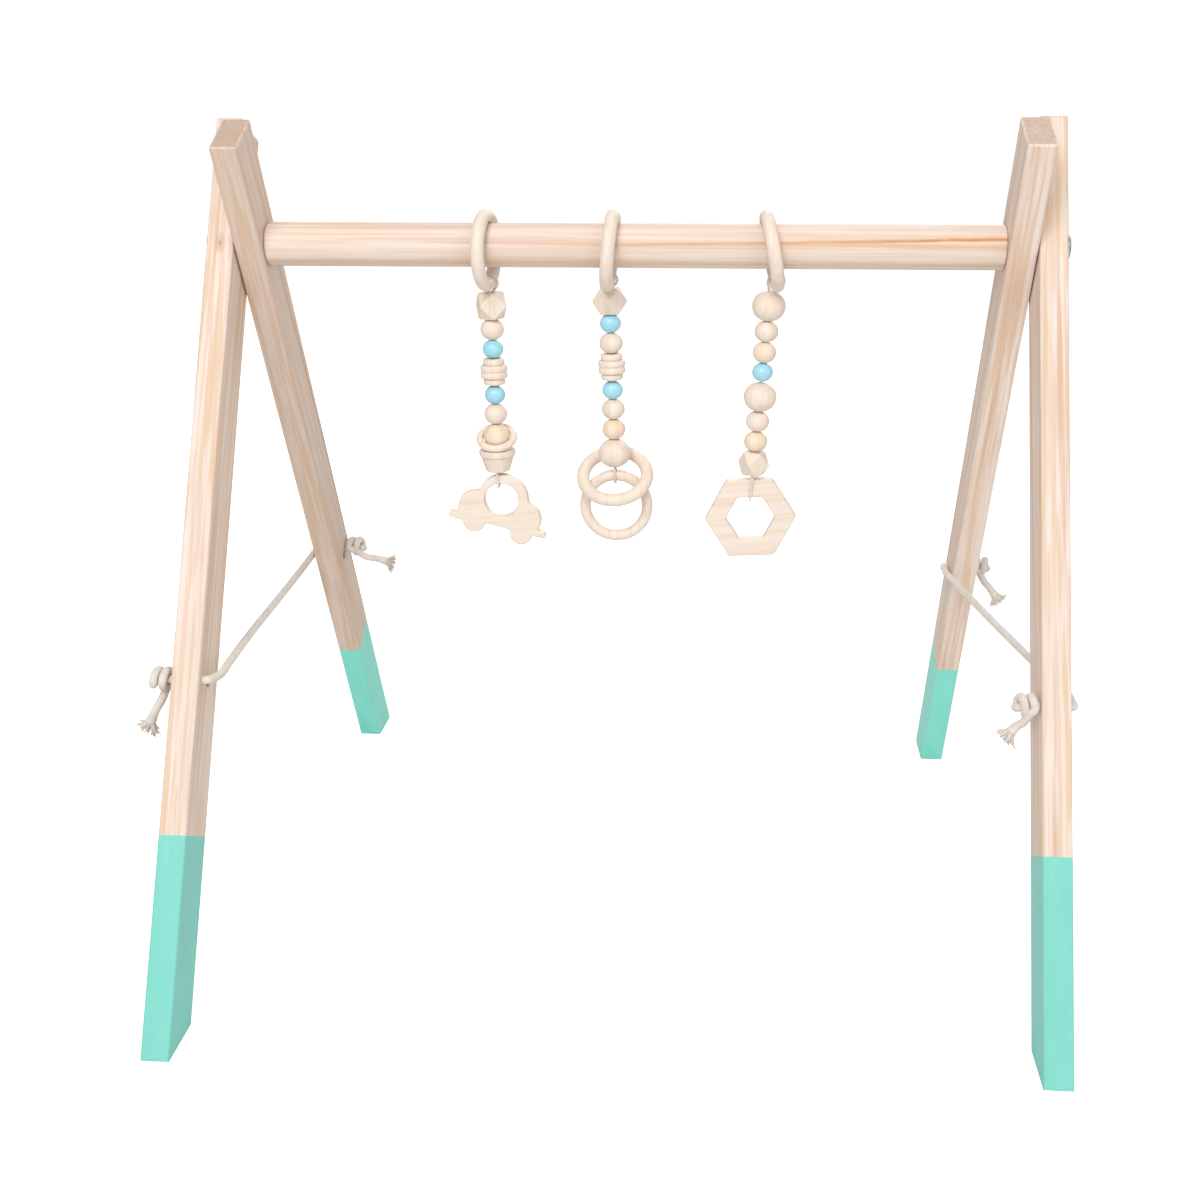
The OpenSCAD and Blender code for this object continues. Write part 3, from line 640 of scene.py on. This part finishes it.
def stay_rope(name, first, last, run, first_tip, last_tip, first_out, last_out, hands, seed):
    """A rope knotted outside leg first and leg last, through the points of run between their far faces."""
    ends = []
    for leg, out, tip, hand in ((first, first_out, first_tip, hands[0]), (last, last_out, last_tip, hands[1])):
        hole, x_lo, x_hi = rope_hole(leg)
        face = Vector((x_hi if out > 0 else x_lo, hole.y, hole.z))
        ends.append(knot_path(face, out, 1.55, tip, hand))
    pts = ends[0][::-1] + run + ends[1]
    path = catmull(pts, 0.95 * MM)
    parts = [braided(path, ROPE_R, 0.3), tuft(path[::-1], seed), tuft(path, seed + 1)]
    verts, faces = merge(parts)
    rope = new_object(name, verts, faces, M_ROPE)
    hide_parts(name.replace("_twisted", ""))
    return rope


def left_run():
    (f, _, f_in), (r, r_out, _) = rope_hole("left_front_leg"), rope_hole("left_rear_leg")
    z = f.z
    off = 3.7 * MM
    return [Vector((f_in + 0.8 * MM, f.y, z)), Vector((f_in + 6 * MM, f.y + 3 * MM, z)),
            Vector((f_in + 9 * MM, f.y + 14 * MM, z)),
            Vector((f_in + 8 * MM, f.y + 32 * MM, z + 0.4 * MM)),
            Vector((f_in + 3.4 * MM, f.y * 0.42, z - 1.2 * MM)),
            Vector((r_out - 1.2 * MM, 0, z - 3.0 * MM)),
            Vector((r_out - 3.2 * MM, r.y * 0.5, z - 2.4 * MM)),
            Vector((r_out - off - 0.5 * MM, r.y - 20 * MM, z - 0.4 * MM)),
            Vector((r_out - off, r.y - 5 * MM, z)), Vector((r_out - 0.8 * MM, r.y, z))]


def right_run():
    (r, r_in, _), (f, _, f_out) = rope_hole("right_rear_leg"), rope_hole("right_front_leg")
    z = r.z
    off = 3.5 * MM
    half = 20 * MM / math.cos(math.radians(26))
    a = Vector((r_in - off, r.y - half + 1 * MM, z))
    b = Vector((f_out + off, f.y + half - 1 * MM, z))
    mid = [a.lerp(b, t) + Vector((0, 0, -1.2 * MM * math.sin(math.pi * t))) for t in (0.08, 0.25, 0.5, 0.75, 0.92)]
    return [Vector((r_in - 0.8 * MM, r.y, z)), Vector((r_in - off, r.y - 5 * MM, z)),
            Vector((r_in - off, r.y - 14 * MM, z)), a, *mid, b,
            Vector((f_out + off, f.y + 14 * MM, z)), Vector((f_out + off, f.y + 5 * MM, z)),
            Vector((f_out + 0.8 * MM, f.y, z))]


rope = stay_rope("left_rope_twisted", "left_front_leg", "left_rear_leg", left_run(),
                 (21, 33, 1), (38, 13, -3), -1, 1, (1, 1), 11)
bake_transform(rope)
rope = stay_rope("right_rope_twisted", "right_rear_leg", "right_front_leg", right_run(),
                 (24, 27, 1), (18, 19, 2), 1, -1, (1, -1), 17)
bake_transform(rope)

# ---------- cords of the strings ----------

CORD_R = 1.1 * MM
CORD_PITCH = 5.2 * MM


def circle_path(c, a, b, radius, steps):
    return [c + (a * math.cos(2 * math.pi * i / steps) + b * math.sin(2 * math.pi * i / steps)) * radius
            for i in range(steps)]


def cord_piece(name, parts, node, body):
    verts, faces = merge(parts)
    obj = new_object(name, verts, faces, M_CORD)
    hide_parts(node)
    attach(obj, body)


def string_up(string):
    """Direction up a string, from its lower joint."""
    joint = {"car_string": "car_turn", "ring_string": "loose_ring_lift", "hexagon_string": "hexagon_turn"}[string]
    return Vector(JOINTS[joint]["axis"]).normalized()


def teardrop(mid, across, radial, radius, apex, up):
    """Open path from inside the top bead, once round the ring, and back into the bead."""
    a, b = (apex - mid).dot(across), (apex - mid).dot(radial)
    far, aim = math.hypot(a, b), math.atan2(a, b)
    open_by = math.acos(radius / far)
    pts = [apex - up * 1.6 * MM + across * 0.45 * MM]
    for i in range(49):
        turn = aim + open_by + (2 * math.pi - 2 * open_by) * i / 48
        pts.append(mid + (across * math.sin(turn) + radial * math.cos(turn)) * radius)
    pts.append(apex - up * 1.6 * MM - across * 0.45 * MM)
    return catmull(pts, 0.4 * MM)


for string in ("car_string", "ring_string", "hexagon_string"):
    swing = JOINTS[string + "_swing"]
    hub, axle = Vector(swing["pos_m"]), Vector(swing["axis"]).normalized()
    node = string + "_top_loop"
    mid = centre(node)
    radial = mid - hub
    radial = (radial - axle * radial.dot(axle)).normalized()
    lo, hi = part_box(node)
    radius = (hi[0] - lo[0]) / 2 - CORD_R
    up = string_up(string)
    lo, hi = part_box(string + "_upper_cord")
    apex = centre(string + "_upper_cord") + up * ((hi[2] - lo[2]) / 2 / up.z)
    cord_piece(node + "_twisted", [twisted(teardrop(mid, axle, radial, radius, apex, up), CORD_R, 2, CORD_PITCH, 9)],
               node, string + "_upper")


def rounded_loop(top, up, width, height, r):
    """Closed path round a plate's bar, in the plane of +Y and up, its top at the given point."""
    y = Vector((0, 1, 0))
    pts = []
    w, h = width / 2 - CORD_R, height - 2 * CORD_R
    mid = top - up * (height / 2)
    for cy, cz, a0 in ((1, 1, 0), (-1, 1, 90), (-1, -1, 180), (1, -1, 270)):
        for k in range(7):
            a = math.radians(a0 + 15 * k)
            pts.append(mid + y * (cy * (w - r) + r * math.cos(a)) + up * (cz * (h / 2 - r) + r * math.sin(a)))
    out = []
    for a, b in zip(pts, pts[1:] + pts[:1]):
        n = max(1, round((b - a).length / (0.45 * MM)))
        out += [a.lerp(b, k / n) for k in range(n)]
    return out


for node, joint, body in (("car_string_car_loop", "car_turn", "car"),
                          ("hexagon_string_hexagon_loop", "hexagon_turn", "hexagon")):
    j = JOINTS[joint]
    up = Vector(j["axis"]).normalized()
    lo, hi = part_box(node)
    path = rounded_loop(Vector(j["pos_m"]), up, hi[1] - lo[1], (hi[2] - lo[2]) / up.z, 1.6 * MM)
    cord_piece(node + "_twisted", [twisted(path, CORD_R, 2, CORD_PITCH, 9, 0, closed=True)], node, body)

# lower cord of the middle string, with the loop of the hanging ring
node = "ring_string_lower_cord"
up = Vector(JOINTS["loose_ring_lift"]["axis"]).normalized()
eye = Vector(JOINTS["hanging_ring_swing"]["pos_m"])
eye_r = (8.6 / 2 + 0.15) * MM + CORD_R
top = Vector(JOINTS["ring_string_bend"]["pos_m"]) - up * 0.3 * MM
bottom = eye + up * eye_r
n = round((top - bottom).length / (0.5 * MM))
line = [top.lerp(bottom, i / n) for i in range(n + 1)]
cord_piece(node + "_twisted", [twisted(line, CORD_R, 2, CORD_PITCH, 9),
                               twisted(circle_path(eye, Vector((0, 1, 0)), up, eye_r, 64), CORD_R, 2, CORD_PITCH, 9,
                                       0, closed=True)], node, "ring_string_lower")

# ---------- turned beads, cup and rings ----------

BODY_OF = {n: body for body, nodes in record["behaviour"]["bodies"].items() for n in nodes}
UP = {"car_string": Vector(JOINTS["car_turn"]["axis"]).normalized(),
      "ring_string": Vector(JOINTS["loose_ring_lift"]["axis"]).normalized(),
      "hexagon_string": Vector(JOINTS["hexagon_turn"]["axis"]).normalized()}
BORE_R = 1.6
BEAD_SIZES = {"small_bead": (18, 15.66), "warm_bead": (18, 15.66), "blue_bead": (16, 14.08),
              "large_bead": (25, 22), "nested_bead": (20, 20)}
FACET_HEIGHTS = {"car_string": 20, "ring_string": 19.2, "hexagon_string": 18.6}


def string_of(node):
    return node[:node.index("_string") + 7]


def place_on(node, turn=0.0, tilt=0.0):
    """Matrix from millimetres in the node's own axes to its place on its string."""
    up = UP[string_of(node)]
    lean = math.atan2(up.x, up.z)
    spin = Matrix.Rotation(lean, 4, "Y") @ Matrix.Rotation(math.radians(tilt), 4, "X")
    return Matrix.Translation(centre(node)) @ spin @ Matrix.Rotation(math.radians(turn), 4, "Z") @ Matrix.Scale(MM, 4)


def stand_for(name, node, verts, faces, mat, slot, smooth=True):
    obj = new_object(name, verts, faces, mat, smooth)
    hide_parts(node)
    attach(obj, BODY_OF[node])
    return obj


def bead_profile(d, length):
    """Ring of (radius, height) of a round bead with an eased bore."""
    r, off = length / 2, (d - length) / 2
    first = math.acos(min(1, (BORE_R + 0.7 - off) / r))
    pts = []
    n = 30
    for i in range(n + 1):
        a = -first + 2 * first * i / n
        pts.append((off + r * math.cos(a), r * math.sin(a)))
    top = pts[-1][1]
    ease = [(BORE_R + 0.25, top + 0.02), (BORE_R + 0.05, top - 0.25), (BORE_R, top - 0.7)]
    return pts + ease + [(x, -y) for x, y in reversed(ease)]


def ribbed_profile(d, length):
    """Barrel of four rounded ribs."""
    rib = length / 4
    pts = []
    for i in range(4):
        reach = d / 2 - (2 if i in (0, 3) else 0)
        for k in range(11):
            a = math.radians(-78 + 156 * k / 10)
            if i == 0 and k == 0:
                a = math.radians(-90)
            if i == 3 and k == 10:
                a = math.radians(90)
            pts.append((reach - 1.3 + 1.3 * math.cos(a), (i - 1.5) * rib + rib / 2 * math.sin(a)))
    h = length / 2
    return [(BORE_R + 0.4, -h)] + pts + [(BORE_R + 0.4, h), (BORE_R, h - 0.5), (BORE_R, -h + 0.5)]


def cup_profile(height):
    """Pot with a straight rim band over a tapered body and a rounded foot."""
    h = height / 2
    pts = [(BORE_R + 0.4, -h), (7.6, -h)]
    for k in range(1, 7):
        a = math.pi / 2 * k / 6
        pts.append((7.6 + 1.9 * math.sin(a), -h + 1.7 - 1.7 * math.cos(a)))
    for k in range(1, 8):
        f = k / 7
        pts.append((9.5 + 3.3 * f ** 0.85, -h + 1.7 + (height - 6.9) * f))
    band = h - 5.2
    pts += [(12.9, band + 0.1), (13.5, band + 0.25), (13.95, band + 0.6), (14.1, band + 1.1)]
    pts += [(14.2, h - 1.2), (14.12, h - 0.75), (13.85, h - 0.35), (13.4, h - 0.08), (12.9, h)]
    return pts + [(BORE_R + 0.4, h), (BORE_R, h - 0.5), (BORE_R, -h + 0.5)]


def facet_solid(node, turn, height):
    """Six square and eight triangular faces with softly sanded edges."""
    a = height / 2
    bm = bmesh.new()
    for i in range(3):
        for p in (-a, a):
            for q in (-a, a):
                co = [p, q]
                co.insert(i, 0.0)
                bm.verts.new(co)
    hull = bmesh.ops.convex_hull(bm, input=bm.verts)
    bmesh.ops.dissolve_limit(bm, angle_limit=0.01, verts=bm.verts, edges=bm.edges)
    bmesh.ops.bevel(bm, geom=bm.edges[:] + bm.verts[:], offset=0.75, offset_type="OFFSET", segments=4,
                    profile=0.5, affect="EDGES")
    bmesh.ops.recalc_face_normals(bm, faces=bm.faces)
    m = place_on(node, turn)
    bm.verts.ensure_lookup_table()
    verts = [m @ v.co for v in bm.verts]
    faces = [tuple(v.index for v in f.verts) for f in bm.faces]
    bm.free()
    return verts, faces


def torus(matrix, outside, tube_d, rounds=120, sides=32):
    major, minor = (outside - tube_d) / 2, tube_d / 2
    verts, faces = [], []
    for i in range(rounds):
        a = 2 * math.pi * i / rounds
        for k in range(sides):
            b = 2 * math.pi * k / sides
            # a true torus, though a turned ring is very slightly flatter
            r = major + minor * math.cos(b)
            verts.append(matrix @ Vector((r * math.cos(a), r * math.sin(a), minor * math.sin(b))))
    for i in range(rounds):
        for k in range(sides):
            j, m = (i + 1) % rounds, (k + 1) % sides
            faces.append((i * sides + k, j * sides + k, j * sides + m, i * sides + m))
    return verts, faces


FACET_TURNS = {"car_string": 20, "ring_string": 45, "hexagon_string": 25}
for count, node in enumerate(n for n in frame["nodes"] if "_string_" in n and n.split("_")[-1] in ("bead", "cup")):
    kind = "_".join(node.split("_")[-2:])
    piece = node + "_turned"
    if kind in BEAD_SIZES:
        verts, faces = lathe(bead_profile(*BEAD_SIZES[kind]), 64, place_on(node))
        if kind == "blue_bead":
            mat, slot = M_BLUE, "blue"
        elif kind in ("warm_bead", "nested_bead"):
            mat, slot = M_WARM[count % 2], "warm_wood"
        else:
            mat, slot = M_BEECH[count % 3], "beech"
    elif kind == "ribbed_bead":
        verts, faces = lathe(ribbed_profile(21, 20), 72, place_on(node))
        mat, slot = M_BEECH[count % 3], "beech"
    elif kind == "facet_bead":
        verts, faces = facet_solid(node, FACET_TURNS[string_of(node)], FACET_HEIGHTS[string_of(node)])
        mat, slot = M_BEECH[count % 3], "warm_wood"
    else:
        verts, faces = lathe(cup_profile(17.4), 80, place_on(node))
        mat, slot = M_BEECH[0], "beech"
    bead = stand_for(piece, node, verts, faces, mat, slot)
    if kind == "facet_bead":
        bead.modifiers.new("flat_faces", "WEIGHTED_NORMAL")

for string in UP:
    j = JOINTS[string + "_swing"]
    axle = Vector(j["axis"]).normalized()
    turn = axle.to_track_quat("Z", "Y").to_matrix().to_4x4()
    m = Matrix.Translation(Vector(j["pos_m"])) @ turn @ Matrix.Scale(MM, 4)
    stand_for(string + "_ring_turned", string + "_ring", *torus(m, 60, 10), M_RING, "beech")
LOOSE_TILT, SMALL_TILT = 35, 28
for node, tilt, outside, tube_d in (("ring_string_loose_ring", LOOSE_TILT, 60, 10),
                                    ("ring_string_hanging_ring", 90, 57.5, 8.6),
                                    ("car_string_small_ring", SMALL_TILT, 32, 5.6)):
    verts, faces = torus(place_on(node, 0, tilt), outside, tube_d)
    stand_for(node + "_turned", node, verts, faces, M_RING, "beech")

# ---------- plates with rounded edges ----------


def front_loops(node):
    """The outline loops of a flat plate that stands in the XZ plane, from its CAD mesh, as lists of (x, z)."""
    bm = bmesh.new()
    bm.from_mesh(frame["nodes"][node].data)
    bmesh.ops.remove_doubles(bm, verts=bm.verts, dist=1e-6)
    bm.normal_update()
    front = {f for f in bm.faces if f.normal.y < -0.99}
    nxt = {}
    for f in front:
        for loop in f.loops:
            others = [g for g in loop.edge.link_faces if g is not f]
            if not any(g in front for g in others):
                nxt.setdefault(loop.vert.index, []).append(loop.link_loop_next.vert.index)
    bm.verts.ensure_lookup_table()
    loops = []
    while nxt:
        start = next(iter(nxt))
        ring, at = [], start
        while at in nxt:
            ring.append(at)
            to = nxt[at].pop()
            if not nxt[at]:
                del nxt[at]
            at = to
            if at == start:
                break
        loops.append([(bm.verts[i].co.x, bm.verts[i].co.z) for i in ring])
    bm.free()
    return loops


def even_loop(loop, step):
    """Even spacing along straight and curved stretches, keeping every corner."""
    out = []
    for (x0, z0), (x1, z1) in zip(loop, loop[1:] + loop[:1]):
        n = max(1, math.ceil(math.hypot(x1 - x0, z1 - z0) / step))
        out += [(x0 + (x1 - x0) * i / n, z0 + (z1 - z0) * i / n) for i in range(n)]
    return out


def smooth_corners(loop, rounds):
    """Eases sharp corners of an evenly spaced loop a little, as sanding does."""
    for _ in range(rounds):
        n = len(loop)
        loop = [((loop[i - 1][0] + 2 * loop[i][0] + loop[(i + 1) % n][0]) / 4,
                 (loop[i - 1][1] + 2 * loop[i][1] + loop[(i + 1) % n][1]) / 4) for i in range(n)]
    return loop


def rounded_plate(name, node, edge_r, easing, steps=5):
    """A copy of a flat CAD plate whose front and back edges are rounded over."""
    lo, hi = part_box(node)
    y_mid, half = (lo[1] + hi[1]) / 2, (hi[1] - lo[1]) / 2
    bm = bmesh.new()
    caps = {-1: [], 1: []}
    for loop in front_loops(node):
        pts = smooth_corners(even_loop(loop, 0.6 * MM), easing)
        n = len(pts)
        inward = []
        for i in range(n):
            (xa, za), (xb, zb) = pts[i - 1], pts[(i + 1) % n]
            d = math.hypot(xb - xa, zb - za)
            # the front face's loops keep the plate's material on one side, whichever way they run
            inward.append((-(zb - za) / d, (xb - xa) / d))
        area2 = sum(a[0] * b[1] - b[0] * a[1] for a, b in zip(pts, pts[1:] + pts[:1]))
        rows = []
        prof = []
        for k in range(steps + 1):
            a = math.pi / 2 * k / steps
            prof.append((edge_r * (1 - math.sin(a)), -half + edge_r * (1 - math.cos(a))))
        prof += [(i, -y) for i, y in reversed(prof)]
        for inset, y in prof:
            rows.append([bm.verts.new((x + ix * inset, y_mid + y, z + iz * inset))
                         for (x, z), (ix, iz) in zip(pts, inward)])
        for ra, rb in zip(rows, rows[1:]):
            for i in range(n):
                j = (i + 1) % n
                bm.faces.new((ra[i], ra[j], rb[j], rb[i]))
        caps[-1].append(rows[0])
        caps[1].append(rows[-1])
    for rows in caps.values():
        edges = []
        for row in rows:
            for i, v in enumerate(row):
                edges.append(bm.edges.get((v, row[(i + 1) % len(row)])))
        bmesh.ops.triangle_fill(bm, use_beauty=True, use_dissolve=False, edges=edges)
    bmesh.ops.recalc_face_normals(bm, faces=bm.faces)
    for f in bm.faces:
        f.smooth = True
    mesh = bpy.data.meshes.new(name)
    bm.to_mesh(mesh)
    bm.free()
    mesh.materials.append(M_PLATE)
    obj = bpy.data.objects.new(name, mesh)
    bpy.context.scene.collection.objects.link(obj)
    sharp = obj.modifiers.new("flat_faces", "WEIGHTED_NORMAL")
    sharp.keep_sharp = True
    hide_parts(node)
    return obj


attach(rounded_plate("car_plate", "car_string_car", 1.6 * MM, 3), "car")
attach(rounded_plate("hexagon_plate", "hexagon_string_hexagon", 1.5 * MM, 2), "hexagon")

# ---------- floor, light, camera ----------


def pale_floor(radius=30.0, sides=96):
    """A wide round floor; it looks white to the camera and lights the object a little less."""
    g = Graph("floor_pale")
    slow = g.noise(g.coord, 1.5, 2, 0.5)
    colour = g.mix(g.step(slow, 0.2, 0.8), (0.74, 0.74, 0.74, 1), (0.77, 0.77, 0.77, 1))
    seen = g.nodes.new("ShaderNodeLightPath").outputs["Is Camera Ray"]
    mat = g.finish(colour, 0.8, Emission_Color=(1, 1, 1, 1), Emission_Strength=g.mul(seen, FLOOR_GLOW))
    turns = [2 * math.pi * i / sides for i in range(sides)]
    rim = [Vector((radius * math.cos(a), radius * math.sin(a), 0)) for a in turns]
    floor = new_object("studio_floor", rim, [tuple(range(sides))], mat)


FLOOR_GLOW = 0.64
pale_floor()


def area(name, place, target, size, power, colour=(1, 1, 1)):
    data = bpy.data.lights.new(name, "AREA")
    data.shape = "DISK"
    data.size = size
    data.energy = power
    data.color = colour
    obj = bpy.data.objects.new(name, data)
    obj.location = place
    obj.rotation_euler = (Vector(target) - Vector(place)).to_track_quat("-Z", "Y").to_euler()
    bpy.context.scene.collection.objects.link(obj)


area("key", (-0.5, -2.4, 2.2), (0, 0, 0.3), 1.7, 61)
area("fill", (1.9, -1.5, 1.2), (0, 0, 0.3), 1.8, 10)
area("top", (0.1, 0.9, 2.4), (0, 0, 0.3), 1.6, 8)
area("back", (0.5, 2.6, 1.3), (0, 0, 0.3), 1.8, 24)
world = bpy.data.worlds.new("studio")
world.use_nodes = True
background = world.node_tree.nodes["Background"]
background.inputs[0].default_value = (1, 1, 1, 1)
# white to the camera, softer as a light
glow = world.node_tree.nodes.new("ShaderNodeMapRange")
glow.inputs["To Min"].default_value = 0.5
glow.inputs["To Max"].default_value = 1.05
ray = world.node_tree.nodes.new("ShaderNodeLightPath")
world.node_tree.links.new(ray.outputs["Is Camera Ray"], glow.inputs["Value"])
world.node_tree.links.new(glow.outputs[0], background.inputs[1])
bpy.context.scene.world = world
bpy.context.scene.view_settings.view_transform = "Standard"

YAW, PITCH, ROLL = -0.0852, 0.3233, 0.0036
fwd = Vector((math.sin(YAW) * math.cos(PITCH), math.cos(YAW) * math.cos(PITCH), -math.sin(PITCH)))
right = Vector((math.cos(YAW), -math.sin(YAW), 0))
down = fwd.cross(right)
right, down = (right * math.cos(ROLL) + down * math.sin(ROLL), down * math.cos(ROLL) - right * math.sin(ROLL))
cam_data = bpy.data.cameras.new("camera")
cam_data.sensor_width = 36
cam_data.lens = 44.18
cam_data.shift_x = -0.0058
cam_data.shift_y = -0.0173
cam = bpy.data.objects.new("camera", cam_data)
bpy.context.scene.collection.objects.link(cam)
basis = Matrix((right, -down, -fwd)).transposed().to_4x4()
cam.matrix_world = Matrix.Translation((0.0760, -1.0991, 0.6244)) @ basis
bpy.context.scene.camera = cam
